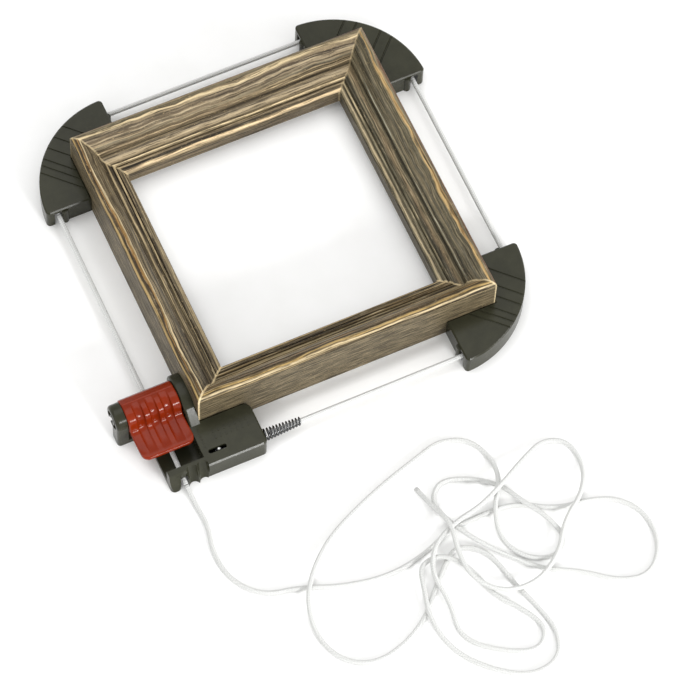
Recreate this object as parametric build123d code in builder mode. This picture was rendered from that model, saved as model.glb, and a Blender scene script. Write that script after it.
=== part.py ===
from build123d import *
import os
from math import cos, pi, radians, sin, tan

# A cord clamp for picture frames, closed around a mitred wooden frame. One braided cord runs
# round three loose corner jaws and back to a tension block, where a tapered spring holds its
# knotted end and a cam under the red thumb lever grips the other side. The spare cord lies loose.
# Millimetres, +Z up, origin on the floor under the middle of the object without its spare cord.

os.makedirs("parts", exist_ok=True)

# ---------------------------------------------------------------- driving dimensions
FRAME_SIDE = 200.0           # outside of the wooden frame, square
MOULDING_WIDTH = 27.0        # from the outer side to the sight edge
REBATE_WIDTH = 8.0           # ledge behind the sight edge that takes glass and picture
REBATE_DEPTH = 6.6
JAW_LEG = 33.0               # how far each jaw reaches along the frame from its corner
JAW_RADIUS = 63.0            # outer rim of a jaw
JAW_HEIGHT = 16.0
CORD_DIAMETER = 3.0
CORD_LEVEL = 8.0             # height of the tight cord's middle
CORD_BEND = 55.0             # radius of the cord inside a jaw
FIT_GAP = 0.15               # between the wood and the plastic pieces around it
LEVER_WIDTH = 34.4
AXLE_DIAMETER = 4.0
RUNNING_GAP = 0.05           # radial, between the axle and the pieces that turn on it
CHEEK_OUTSIDE = -149.0       # outer face of the left cheek, from the middle of the wooden frame
BLOCK_FRONT = -132.0         # foremost line of the tension block

# ---------------------------------------------------------------- derived places
HALF = FRAME_SIDE / 2
HUB = HALF - JAW_LEG                       # a jaw's arc is centred here, both ways
CORD_LINE = HUB + CORD_BEND                # the tight cord runs this far from the middle
RIM = HUB + JAW_RADIUS                     # outermost line of the jaws
FRAME_X = -(CHEEK_OUTSIDE + RIM) / 2       # middle of the wooden frame, seen from the origin
FRAME_Y = -(BLOCK_FRONT + RIM) / 2
CORD_RADIUS = CORD_DIAMETER / 2
AXLE_Y = -81.0
AXLE_Z = 21.0
AXLE_RADIUS = AXLE_DIAMETER / 2
LEVER_LEFT = -141.7
CAM_X = -CORD_LINE                         # the cam stands over the cord


def level(height):
    """Horizontal plane, measured from the middle of the wooden frame."""
    return Plane(origin=(FRAME_X, FRAME_Y, height))


def across(x):
    """Plane at right angles to X: its own x is the depth, its own y the height."""
    return Plane(origin=(FRAME_X + x, FRAME_Y, 0), x_dir=(0, 1, 0), z_dir=(1, 0, 0))


def along(y):
    """Plane at right angles to Y, facing forward: its own x is X, its own y the height."""
    return Plane(origin=(FRAME_X, FRAME_Y + y, 0), x_dir=(1, 0, 0), z_dir=(0, -1, 0))


def block(x, y):
    """Rectangle between two x and two y values, in the sketch being drawn."""
    with Locations(((x[0] + x[1]) / 2, (y[0] + y[1]) / 2)):
        Rectangle(x[1] - x[0], y[1] - y[0])


def save(piece, label):
    piece.part.label = label
    export_step(piece.part, f"parts/{label}.step")


# ---------------------------------------------------------------- wooden frame
CROWN_TOP = 41.0             # highest line of the moulding, just inside its outer side
OUTER_EDGE = 37.4
STEP_AT = 13.4               # a small step parts the crown from the cove
SIGHT_EDGE = 16.4
REBATE_LINE = MOULDING_WIDTH - REBATE_WIDTH


def frame_rail(heading):
    """One rail, mitred at both ends. It runs along the heading, with the sight edge on its left."""
    run = Vector(cos(radians(heading)), sin(radians(heading)), 0)
    inward = Vector(-run.Y, run.X, 0)
    middle = Vector(FRAME_X, FRAME_Y, 0)
    start = middle - run * HALF - inward * HALF
    finish = middle + run * HALF - inward * HALF
    with BuildPart() as rail:
        # outline of the moulding: first number inwards from the outer side, second upwards
        with BuildSketch(Plane(origin=start, x_dir=inward, z_dir=run)):
            with BuildLine():
                Line((0, 0), (0, OUTER_EDGE))
                ThreePointArc((0, OUTER_EDGE), (1.9, CROWN_TOP - 0.2), (6.5, 38.9))
                ThreePointArc((6.5, 38.9), (10.1, 35.0), (12.7, 29.4))
                Line((12.7, 29.4), (STEP_AT, 28.9))
                Line((STEP_AT, 28.9), (STEP_AT, 27.4))
                ThreePointArc((STEP_AT, 27.4), (15.2, 23.2), (19.2, 21.3))
                ThreePointArc((19.2, 21.3), (20.2, 22.2), (21.1, 20.9))
                Line((21.1, 20.9), (21.5, 20.2))
                ThreePointArc((21.5, 20.2), (22.5, 21.0), (23.4, 19.8))
                Line((23.4, 19.8), (23.8, 19.1))
                ThreePointArc((23.8, 19.1), (25.7, 18.5), (MOULDING_WIDTH, SIGHT_EDGE))
                Line((MOULDING_WIDTH, SIGHT_EDGE), (MOULDING_WIDTH, REBATE_DEPTH))
                Line((MOULDING_WIDTH, REBATE_DEPTH), (REBATE_LINE, REBATE_DEPTH))
                Line((REBATE_LINE, REBATE_DEPTH), (REBATE_LINE, 0))
                Line((REBATE_LINE, 0), (0, 0))
            make_face()
        extrude(amount=FRAME_SIDE)
        split(bisect_by=Plane(origin=start, z_dir=run - inward), keep=Keep.TOP)
        split(bisect_by=Plane(origin=finish, z_dir=-run - inward), keep=Keep.TOP)
    return rail


for name, heading in (("rail_front", 0), ("rail_right", 90), ("rail_back", 180), ("rail_left", 270)):
    save(frame_rail(heading), name)


# ---------------------------------------------------------------- corner jaws
JAW_ROOF = 2.5               # thickness of a jaw's top plate
RIM_WALL = 5.0
SADDLE_RADIUS = 53.3         # the cord bears on this wall
SADDLE_WALL = 4.8
FENCE_WALL = 3.0
NOSE = 1.6                   # the saddle wall stands this far out of each end
JAW_EDGE = 0.8
JAW_END = 1.8                # wall that closes each end of the pockets
GROOVE_WIDTH = 1.4
GROOVE_DEPTH = 0.7
# how far each groove lies from the diagonal, positive towards the second leg
GROOVES = {
    "jaw_back_right": (-16, -8.2, 8.2, 16),
    "jaw_back_left": (-17.5, -8.3, 0.3, 8.5, 13.3, 18.4),
    "jaw_front_right": (-13.2, -8.8, -4.2, 4, 11, 20.3),
}


def corner_jaw(facing, grooves):
    """Quarter-round jaw whose notch holds a frame corner; its two legs lie at facing and +90."""
    leg = Vector(cos(radians(facing)), sin(radians(facing)), 0)
    side = Vector(-leg.Y, leg.X, 0)
    hub = Vector(FRAME_X, FRAME_Y, 0) + leg * HUB + side * HUB
    floor = Plane(origin=hub, x_dir=leg, z_dir=(0, 0, 1))
    notch = JAW_LEG + FIT_GAP
    depth = JAW_HEIGHT - JAW_ROOF
    quarter = (Align.MIN, Align.MIN)
    nose_out = SADDLE_WALL / 2 - NOSE
    nose_up = SADDLE_RADIUS - SADDLE_WALL / 2
    with BuildPart() as jaw:
        with BuildSketch(floor):
            Circle(JAW_RADIUS)
            Rectangle(JAW_RADIUS, JAW_RADIUS, align=quarter, mode=Mode.INTERSECT)
            Rectangle(notch, notch, align=quarter, mode=Mode.SUBTRACT)
        extrude(amount=JAW_HEIGHT)
        tips = jaw.edges().filter_by(Axis.Z).filter_by(lambda e: (e.center() - hub).length > JAW_RADIUS - 1)
        fillet(tips, 2.5)
        top_edges = jaw.edges().group_by(Axis.Z)[-1]
        chamfer(top_edges.filter_by(lambda e: (e.center() - hub).length > notch + JAW_EDGE), JAW_EDGE)
        # channel for the cord, open below and at both ends
        with BuildSketch(floor):
            Circle(JAW_RADIUS - RIM_WALL)
            Circle(SADDLE_RADIUS, mode=Mode.SUBTRACT)
            Rectangle(JAW_RADIUS, JAW_RADIUS, align=quarter, mode=Mode.INTERSECT)
        extrude(amount=depth, mode=Mode.SUBTRACT)
        # pockets between the fence along the frame and the saddle wall, with ribs left standing
        with BuildSketch(floor):
            Circle(SADDLE_RADIUS - SADDLE_WALL)
            with Locations((JAW_END, JAW_END)):
                Rectangle(JAW_RADIUS, JAW_RADIUS, align=quarter, mode=Mode.INTERSECT)
            Rectangle(notch + FENCE_WALL, notch + FENCE_WALL, align=quarter, mode=Mode.SUBTRACT)
            for turn in (15, 35, 55, 75):
                with Locations(Location((0, 0, 0), (0, 0, turn))):
                    Rectangle(JAW_RADIUS, 2.0, align=(Align.MIN, Align.CENTER), mode=Mode.SUBTRACT)
        extrude(amount=depth, mode=Mode.SUBTRACT)
        # the saddle wall stands out as a rounded nose beside the cord at each end
        with BuildSketch(floor):
            with Locations((nose_out, nose_up), (nose_up, nose_out)):
                Circle(SADDLE_WALL / 2)
        extrude(amount=depth)
        # grooves in the top, in line with the corner's diagonal
        with BuildSketch(floor.offset(JAW_HEIGHT)):
            with Locations(Location((0, 0, 0), (0, 0, 45))):
                with Locations(*((0, place) for place in grooves)):
                    Rectangle(4 * JAW_RADIUS, GROOVE_WIDTH)
        extrude(amount=-GROOVE_DEPTH, taper=30, mode=Mode.SUBTRACT)
    return jaw


for name, facing in (("jaw_back_right", 0), ("jaw_back_left", 90), ("jaw_front_right", 270)):
    save(corner_jaw(facing, GROOVES[name]), name)


# ---------------------------------------------------------------- tension block
BLOCK_HEIGHT = 16.0
BLOCK_RIGHT = -67.0
BAY_RIGHT = -106.8           # the lever works between the two cheeks
BAY_LEFT = -142.0
BAY_FLOOR = 4.0
FLOOR_LEFT = -131.5
WALL_INSIDE = -124.0         # inner face of the front wall
WALL_OUTSIDE = -129.0
BLOCK_BACK = -66.0
SHELL = 2.5                  # wall of the hollow right half
SPRING_BORE = 10.6
SLOT_WIDTH = 3.0
GATE_WIDTH = 4.4             # the spare cord leaves here
GATE_HEIGHT = 7.8
BOSS_WIDTH = 7.0
GATE_RIGHT = -119.8
SCALLOP_FRONT = -132.0       # ridge between the finger scallops, at the floor
SCALLOP_RADIUS = 3.6
SCALLOP_PROUD = 1.4          # the scallops' centres lie this far in front of the sloping wall
SCALLOP_PLACES = (-116.6, -109.6)
WALL_SLOPE = 4.4             # the front wall leans back by this much at its top
EYE_RADIUS = 9.0             # round top of the left cheek
EYE_ROUND = 2.2              # rounding of its outer rim
HOLLOW_X = (BAY_RIGHT + SHELL, BLOCK_RIGHT - SHELL)
HOLLOW_Y = (-130.5 + SHELL, -HALF - FIT_GAP - SHELL)
CHEEK_FRONT = HOLLOW_Y[1]
PIN_X = -96.0                # anchor pin of the spring
COVER_THICKNESS = 2.0
SCREW_X = (-100.5, -73.2)
SCREW_Y = -106.5

with BuildPart() as tension_block:
    # hollow right half along the front rail
    with BuildSketch(level(0)):
        block((BAY_RIGHT, BLOCK_RIGHT), (-130.5, -HALF - FIT_GAP))
    extrude(amount=BLOCK_HEIGHT)
    right_corners = tension_block.edges().filter_by(Axis.Z).group_by(Axis.X)[-1]
    fillet(right_corners.sort_by(Axis.Y)[-1], 5)
    fillet(tension_block.edges().filter_by(Axis.Z).group_by(Axis.X)[-1].sort_by(Axis.Y)[0], 3)
    front_edge = tension_block.edges().group_by(Axis.Z)[-1].filter_by(Axis.X).sort_by(Axis.Y)[0]
    chamfer(front_edge, 0.9)
    with BuildSketch(level(0)):
        block(HOLLOW_X, HOLLOW_Y)
    extrude(amount=BLOCK_HEIGHT - SHELL, mode=Mode.SUBTRACT)
    # bosses for the cover's screws
    with BuildSketch(level(COVER_THICKNESS)):
        with Locations(*((x, SCREW_Y) for x in SCREW_X)):
            Circle(3.2)
    extrude(amount=BLOCK_HEIGHT - SHELL - COVER_THICKNESS)
    with BuildSketch(level(COVER_THICKNESS)):
        with Locations(*((x, SCREW_Y) for x in SCREW_X)):
            Circle(1.0)
    extrude(amount=7, mode=Mode.SUBTRACT)
    # mouth of the spring and the slot over its anchor pin
    with BuildSketch(across(BLOCK_RIGHT + 1)):
        with Locations((-CORD_LINE, CORD_LEVEL)):
            Circle(SPRING_BORE / 2)
    extrude(amount=-SHELL - 2, mode=Mode.SUBTRACT)
    with BuildSketch(level(BLOCK_HEIGHT + 1)):
        with Locations((PIN_X - 1, -CORD_LINE)):
            SlotOverall(12, SLOT_WIDTH)
    extrude(amount=-SHELL - 2, mode=Mode.SUBTRACT)
    # floor of the lever bay
    with BuildSketch(level(0)):
        block((FLOOR_LEFT, BAY_RIGHT + 1), (WALL_OUTSIDE, BLOCK_BACK))
        block((CHEEK_OUTSIDE + EYE_ROUND, FLOOR_LEFT + 1), (AXLE_Y - EYE_RADIUS, AXLE_Y + 1))
    extrude(amount=BAY_FLOOR)
    # front wall: a rounded boss left of the cord's gate, finger scallops right of it
    with BuildSketch(level(0)):
        block((FLOOR_LEFT, BAY_RIGHT), (WALL_OUTSIDE + 1, WALL_INSIDE))
        with Locations((FLOOR_LEFT + BOSS_WIDTH / 2, BLOCK_FRONT + 4)):
            RectangleRounded(BOSS_WIDTH, 8, 3)
        block((GATE_RIGHT, BAY_RIGHT), (SCALLOP_FRONT, WALL_INSIDE))
    extrude(amount=BLOCK_HEIGHT)
    wall_top = SCALLOP_FRONT + WALL_SLOPE
    with BuildSketch(across(FLOOR_LEFT - 1)):
        with BuildLine():
            Polyline((SCALLOP_FRONT, 0), (wall_top, BLOCK_HEIGHT), (wall_top, BLOCK_HEIGHT + 1))
            Polyline((wall_top, BLOCK_HEIGHT + 1), (-140, BLOCK_HEIGHT + 1), (-140, 0), (SCALLOP_FRONT, 0))
        make_face()
    extrude(amount=BAY_RIGHT - FLOOR_LEFT + 1, mode=Mode.SUBTRACT)
    wall_foot = (FRAME_X, FRAME_Y + SCALLOP_FRONT - SCALLOP_PROUD, 0)
    wall_lean = (0, WALL_SLOPE, BLOCK_HEIGHT)
    with BuildSketch(Plane(origin=wall_foot, x_dir=(1, 0, 0), z_dir=wall_lean)):
        with Locations(*((x, 0) for x in SCALLOP_PLACES)):
            Circle(SCALLOP_RADIUS)
    extrude(amount=BLOCK_HEIGHT + 6, both=True, mode=Mode.SUBTRACT)
    # right cheek, against the left rail
    with BuildSketch(across(BAY_RIGHT)):
        with BuildLine():
            Polyline((CHEEK_FRONT, 0), (CHEEK_FRONT, 16), (-95, 24.5))
            ThreePointArc((-95, 24.5), (-88, 28.0), (-81, 28.8))
            ThreePointArc((-81, 28.8), (-70.5, 25.0), (BLOCK_BACK, 15.5))
            Polyline((BLOCK_BACK, 15.5), (BLOCK_BACK, 0), (CHEEK_FRONT, 0))
        make_face()
    extrude(amount=-HALF - FIT_GAP - BAY_RIGHT)
    crest = tension_block.edges().filter_by(lambda e: e.center().Z > BLOCK_HEIGHT + 2)
    fillet(crest.group_by(Axis.X)[0], 1.2)
    # left cheek: a round eye on a leg, with a snap slot open to the back
    eye_rim = AXLE_Y - EYE_RADIUS
    round_off = EYE_ROUND * (1 - sin(radians(45)))
    eye_middle = (FRAME_X, FRAME_Y + AXLE_Y, AXLE_Z)
    with BuildSketch(Plane(origin=eye_middle, x_dir=(1, 0, 0), z_dir=(0, -1, 0))):
        with BuildLine():
            Line((CHEEK_OUTSIDE, 0), (CHEEK_OUTSIDE, EYE_RADIUS - EYE_ROUND))
            ThreePointArc(
                (CHEEK_OUTSIDE, EYE_RADIUS - EYE_ROUND),
                (CHEEK_OUTSIDE + round_off, EYE_RADIUS - round_off),
                (CHEEK_OUTSIDE + EYE_ROUND, EYE_RADIUS),
            )
            Polyline((CHEEK_OUTSIDE + EYE_ROUND, EYE_RADIUS), (BAY_LEFT, EYE_RADIUS), (BAY_LEFT, 0))
            Line((BAY_LEFT, 0), (CHEEK_OUTSIDE, 0))
        make_face()
    revolve(axis=Axis(eye_middle, (1, 0, 0)))
    with BuildSketch(level(0)):
        with BuildLine():
            Polyline((CHEEK_OUTSIDE + EYE_ROUND, eye_rim), (BAY_LEFT, eye_rim), (BAY_LEFT, AXLE_Y - 0.5))
            Polyline((BAY_LEFT, AXLE_Y - 0.5), (CHEEK_OUTSIDE, AXLE_Y - 0.5), (CHEEK_OUTSIDE, eye_rim + EYE_ROUND))
            ThreePointArc(
                (CHEEK_OUTSIDE, eye_rim + EYE_ROUND),
                (CHEEK_OUTSIDE + round_off, eye_rim + round_off),
                (CHEEK_OUTSIDE + EYE_ROUND, eye_rim),
            )
        make_face()
    extrude(amount=AXLE_Z)
    with BuildSketch(across(CHEEK_OUTSIDE)):
        with Locations(Location((AXLE_Y, AXLE_Z), -55)):
            Rectangle(12, 3.2, align=(Align.MIN, Align.CENTER))
    extrude(amount=BAY_LEFT - CHEEK_OUTSIDE, mode=Mode.SUBTRACT)
    with BuildSketch(across(CHEEK_OUTSIDE)):
        with Locations((AXLE_Y, AXLE_Z)):
            Circle(6.2)
            Circle(3.6, mode=Mode.SUBTRACT)
    extrude(amount=0.8, mode=Mode.SUBTRACT)
    # low back wall that centres the cord
    with BuildSketch(along(BLOCK_BACK)):
        block((FLOOR_LEFT, BAY_RIGHT), (0, 11.4))
    extrude(amount=3)
    with BuildSketch(along(BLOCK_BACK + 1)):
        block((CAM_X - 2.2, CAM_X + 2.2), (CORD_LEVEL - CORD_RADIUS - 0.3, 13))
    extrude(amount=5, mode=Mode.SUBTRACT)
    # pocket of the anvil, gate of the spare cord, bore of the axle
    with BuildSketch(level(2.5)):
        block((CAM_X - 6, CAM_X + 6), (-91, -73))
    extrude(amount=BAY_FLOOR, mode=Mode.SUBTRACT)
    with BuildSketch(along(WALL_INSIDE + 1)):
        block((CAM_X - GATE_WIDTH / 2, CAM_X + GATE_WIDTH / 2), (0, GATE_HEIGHT))
    extrude(amount=12, mode=Mode.SUBTRACT)
    with BuildSketch(across(CHEEK_OUTSIDE - 1)):
        with Locations((AXLE_Y, AXLE_Z)):
            Circle(AXLE_RADIUS)
    extrude(amount=47.5, mode=Mode.SUBTRACT)
    # small raised grip marks on the top
    with BuildSketch(level(BLOCK_HEIGHT)):
        with Locations((-84, -112.5)):
            with GridLocations(3.6, 4.2, 7, 2):
                SlotOverall(2.2, 0.9, rotation=60)
        with Locations((-103.4, -112)):
            with GridLocations(1, 2.4, 1, 6):
                Circle(0.5)
    extrude(amount=0.35)
save(tension_block, "tension_block")

with BuildPart() as base_cover:
    with BuildSketch(level(0)):
        block((HOLLOW_X[0] + FIT_GAP, HOLLOW_X[1] - FIT_GAP), (HOLLOW_Y[0] + FIT_GAP, HOLLOW_Y[1] - FIT_GAP))
    extrude(amount=COVER_THICKNESS)
    # boss that holds the foot of the anchor pin
    with BuildSketch(level(COVER_THICKNESS)):
        with Locations((PIN_X, -CORD_LINE)):
            Circle(2.6)
    extrude(amount=3)
    with BuildSketch(level(1)):
        with Locations((PIN_X, -CORD_LINE)):
            Circle(1.2)
    extrude(amount=5, mode=Mode.SUBTRACT)
    with BuildSketch(level(0)):
        with Locations(*((x, SCREW_Y) for x in SCREW_X)):
            Circle(1.3)
    extrude(amount=COVER_THICKNESS, mode=Mode.SUBTRACT)
    with BuildSketch(level(0)):
        with Locations(*((x, SCREW_Y) for x in SCREW_X)):
            Circle(2.2)
    extrude(amount=1.2, mode=Mode.SUBTRACT)
save(base_cover, "base_cover")

with BuildPart() as cover_screws:
    with BuildSketch(level(0.2)):
        with Locations(*((x, SCREW_Y) for x in SCREW_X)):
            Circle(2.1)
    extrude(amount=1.0)
    with BuildSketch(level(1.2)):
        with Locations(*((x, SCREW_Y) for x in SCREW_X)):
            Circle(1.0)
    extrude(amount=7)
    with BuildSketch(level(0.2)):
        with Locations(*((x, SCREW_Y) for x in SCREW_X)):
            Rectangle(0.7, 3.0)
            Rectangle(3.0, 0.7)
    extrude(amount=0.6, mode=Mode.SUBTRACT)
save(cover_screws, "cover_screws")

# ---------------------------------------------------------------- lever, cam and axle
CAM_WIDTH = 12.0
CAM_REACH = 11.3             # from the axle down to the tight cord
HUB_RADIUS = 8.4
TAB_FRONT = -113.4
GROOVE_STEP = 9.0            # from one thumb groove to the next
GRIP_WIDTH = 5.4

with BuildPart() as lever:
    with BuildSketch(across(LEVER_LEFT)):
        with BuildLine():
            Spline((-71.4, 25.4), (-77, 28.4), (-83.5, 30.2), (-89.2, 28.8), (-91.9, 24.6))
            Line((-91.9, 24.6), (-92.6, 19.8))
            Spline((-92.6, 19.8), (-96, 18.1), (-101, 18.7), (-107, 19.3), (TAB_FRONT + 1.2, 20.2))
            Polyline((TAB_FRONT + 1.2, 20.2), (TAB_FRONT, 19.2), (TAB_FRONT + 0.2, 17.0))
            Polyline((TAB_FRONT + 0.2, 17.0), (-101, 15.4), (-94, 15.0))
            Line((-94, 15.0), (-88.2, 14.4))
            ThreePointArc((-88.2, 14.4), (AXLE_Y, AXLE_Z - HUB_RADIUS - 0.8), (-73.2, 17.0))
            Line((-73.2, 17.0), (-71.4, 25.4))
        make_face()
    extrude(amount=LEVER_WIDTH)
    # rounded corners of the tab
    with BuildSketch(level(0)):
        with Locations((LEVER_LEFT + LEVER_WIDTH / 2, TAB_FRONT + 30)):
            RectangleRounded(LEVER_WIDTH, 60, 5)
    extrude(amount=40, mode=Mode.INTERSECT)
    # seat of the cam, open below
    with BuildSketch(across(CAM_X - CAM_WIDTH / 2 - FIT_GAP)):
        with Locations((AXLE_Y, AXLE_Z)):
            Circle(HUB_RADIUS + 4)
            Rectangle(40, 20, align=(Align.CENTER, Align.MIN), mode=Mode.SUBTRACT)
            Circle(4.6)
    extrude(amount=CAM_WIDTH + 2 * FIT_GAP, mode=Mode.SUBTRACT)
    # three grooves for the thumb, from the hub over the hump and out along the tab
    for place in range(3):
        left = LEVER_LEFT + LEVER_WIDTH / 2 + GROOVE_STEP * (place - 1) - GRIP_WIDTH / 2
        with BuildSketch(across(left)):
            with BuildLine():
                Spline((-78, 29.6), (-83, 28.2), (-87, 25.4), (-89.6, 20.6))
                Spline((-89.6, 20.6), (-92.4, 17.7), (-97, 17.2), (-104, 18.0), (TAB_FRONT + 2, 20.4))
                Polyline((TAB_FRONT + 2, 20.4), (TAB_FRONT + 2, 33), (-78, 33), (-78, 29.6))
            make_face()
        extrude(amount=GRIP_WIDTH, mode=Mode.SUBTRACT)
    with BuildSketch(across(LEVER_LEFT - 1)):
        with Locations((AXLE_Y, AXLE_Z)):
            Circle(AXLE_RADIUS + RUNNING_GAP)
    extrude(amount=LEVER_WIDTH + 2, mode=Mode.SUBTRACT)
save(lever, "lever")

CAM_TEETH = 9
TOOTH_ANGLE = 9.0            # degrees between teeth
TOOTH_DEPTH = 0.8
with BuildPart() as cord_cam:
    with BuildSketch(across(CAM_X - CAM_WIDTH / 2)):
        with Locations((AXLE_Y, AXLE_Z)):
            Circle(4.4)
        with BuildLine():
            points = [(AXLE_Y - 3.2, AXLE_Z - 1.0)]
            for tooth in range(CAM_TEETH):
                angle = radians(-128 + TOOTH_ANGLE * tooth)
                root = radians(-128 + TOOTH_ANGLE * (tooth + 0.72))
                # the reach falls off towards the back, so raising the lever frees the cord
                tip = CAM_REACH - 0.45 * max(0, tooth - 4)
                valley = tip - TOOTH_DEPTH
                points.append((AXLE_Y + tip * cos(angle), AXLE_Z + tip * sin(angle)))
                points.append((AXLE_Y + valley * cos(root), AXLE_Z + valley * sin(root)))
            points.append((AXLE_Y + 3.6, AXLE_Z - 1.0))
            Polyline(*points, close=True)
        make_face()
        with Locations((AXLE_Y, AXLE_Z)):
            Circle(AXLE_RADIUS + RUNNING_GAP, mode=Mode.SUBTRACT)
    extrude(amount=CAM_WIDTH)
save(cord_cam, "cord_cam")

with BuildPart() as cam_anvil:
    with BuildSketch(level(2.5)):
        block((CAM_X - 5.9, CAM_X + 5.9), (-90.9, -73.1))
    extrude(amount=CORD_LEVEL - CORD_RADIUS - 0.1 - 2.5)
    # serrations across the cord
    with BuildSketch(across(CAM_X - 7)):
        with Locations((AXLE_Y - 1, CORD_LEVEL - CORD_RADIUS - 0.1)):
            with GridLocations(1.6, 1, 10, 1):
                Rectangle(0.8, 0.8, rotation=45)
    extrude(amount=14, mode=Mode.SUBTRACT)
save(cam_anvil, "cam_anvil")

with BuildPart() as lever_axle:
    with BuildSketch(across(CHEEK_OUTSIDE + 0.4)):
        with Locations((AXLE_Y, AXLE_Z)):
            Circle(AXLE_RADIUS)
    extrude(amount=46)
    chamfer(lever_axle.edges(), 0.4)
save(lever_axle, "lever_axle")

# ---------------------------------------------------------------- spring and its anchor
WIRE = 1.0
COIL_PITCH = 2.1
COIL_START = -74.0           # big end, inside the block
COIL_END = -42.0             # small end, where the cord comes in
BIG_COIL = 4.05              # to the middle of the wire
SMALL_COIL = 2.15
coil_length = COIL_END - COIL_START
RING_RADIUS = 2.0
hook_height = CORD_LEVEL + BIG_COIL

with BuildPart() as spring_anchor_pin:
    with BuildSketch(level(1.0)):
        with Locations((PIN_X, -CORD_LINE)):
            Circle(1.2)
    extrude(amount=14.6)
    chamfer(spring_anchor_pin.edges().group_by(Axis.Z)[-1], 0.3)
save(spring_anchor_pin, "spring_anchor_pin")

taper = -180 / pi * ((BIG_COIL - SMALL_COIL) / coil_length)
ring_middle = Vector(FRAME_X + PIN_X, FRAME_Y - CORD_LINE, hook_height)
with BuildPart() as tension_spring:
    with BuildLine() as coil:
        Helix(
            COIL_PITCH,
            coil_length,
            BIG_COIL,
            center=(FRAME_X + COIL_START, FRAME_Y - CORD_LINE, CORD_LEVEL),
            direction=(1, 0, 0),
            cone_angle=taper,
        )
    with BuildSketch(Plane(origin=coil.line @ 0, z_dir=coil.line % 0)):
        Circle(WIRE / 2)
    sweep(is_frenet=True)
    # hook: a straight leg from the big end, closed to a ring round the anchor pin
    with BuildSketch(Plane(origin=coil.line @ 0, z_dir=(-1, 0, 0))):
        Circle(WIRE / 2)
    extrude(amount=COIL_START - PIN_X - RING_RADIUS)
    with Locations(coil.line @ 0):
        Sphere(WIRE / 2)
    with Locations(ring_middle):
        Torus(RING_RADIUS, WIRE / 2)
save(tension_spring, "tension_spring")
wire_length = coil.line.edge().length
print(f"spring wire {wire_length:.0f} in the coil, volume {tension_spring.part.volume:.0f}")


# ---------------------------------------------------------------- cord
def route_radii(points):
    """Fillet radius at each corner: 0.45 of the shorter run, over the tangent of half the turn."""
    radii = []
    for before, corner, after in zip(points, points[1:], points[2:]):
        arrive = Vector(*corner) - Vector(*before)
        leave = Vector(*after) - Vector(*corner)
        half_turn = radians(arrive.get_angle(leave)) / 2
        radii.append(0.45 * min(arrive.length, leave.length) / tan(half_turn))
    return radii


def cord_piece(points, radii):
    """Tube of the cord's diameter along straight runs joined by tangent arcs."""
    placed = [Vector(FRAME_X + x, FRAME_Y + y, z) for x, y, z in points]
    with BuildPart() as tube:
        with BuildLine() as path:
            FilletPolyline(*placed, radius=radii)
        with BuildSketch(Plane(origin=path.line @ 0, z_dir=path.line % 0)):
            Circle(CORD_RADIUS)
        sweep()
    length = sum(edge.length for edge in path.edges())
    return tube, length


KNOT_X = -58.0               # the tight cord starts at this face of its knot
KNOT_LENGTH = 5.0
KNOT_RADIUS = 2.5
EXIT = (-122, -131.5, 4.3)             # middle of the gate in the block's front wall
tight_route = [
    (KNOT_X, -CORD_LINE, CORD_LEVEL),
    (CORD_LINE, -CORD_LINE, CORD_LEVEL),
    (CORD_LINE, CORD_LINE, CORD_LEVEL),
    (-CORD_LINE, CORD_LINE, CORD_LEVEL),
    (-CORD_LINE, -113.8, CORD_LEVEL),
    EXIT,
]
clamp_cord, tight_length = cord_piece(tight_route, [CORD_BEND, CORD_BEND, CORD_BEND, 40])
save(clamp_cord, "clamp_cord")

with BuildPart() as cord_knot:
    with BuildSketch(across(KNOT_X)):
        with Locations((-CORD_LINE, CORD_LEVEL)):
            Circle(KNOT_RADIUS)
    extrude(amount=-KNOT_LENGTH)
    fillet(cord_knot.edges(), 1.0)
save(cord_knot, "cord_knot")

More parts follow.
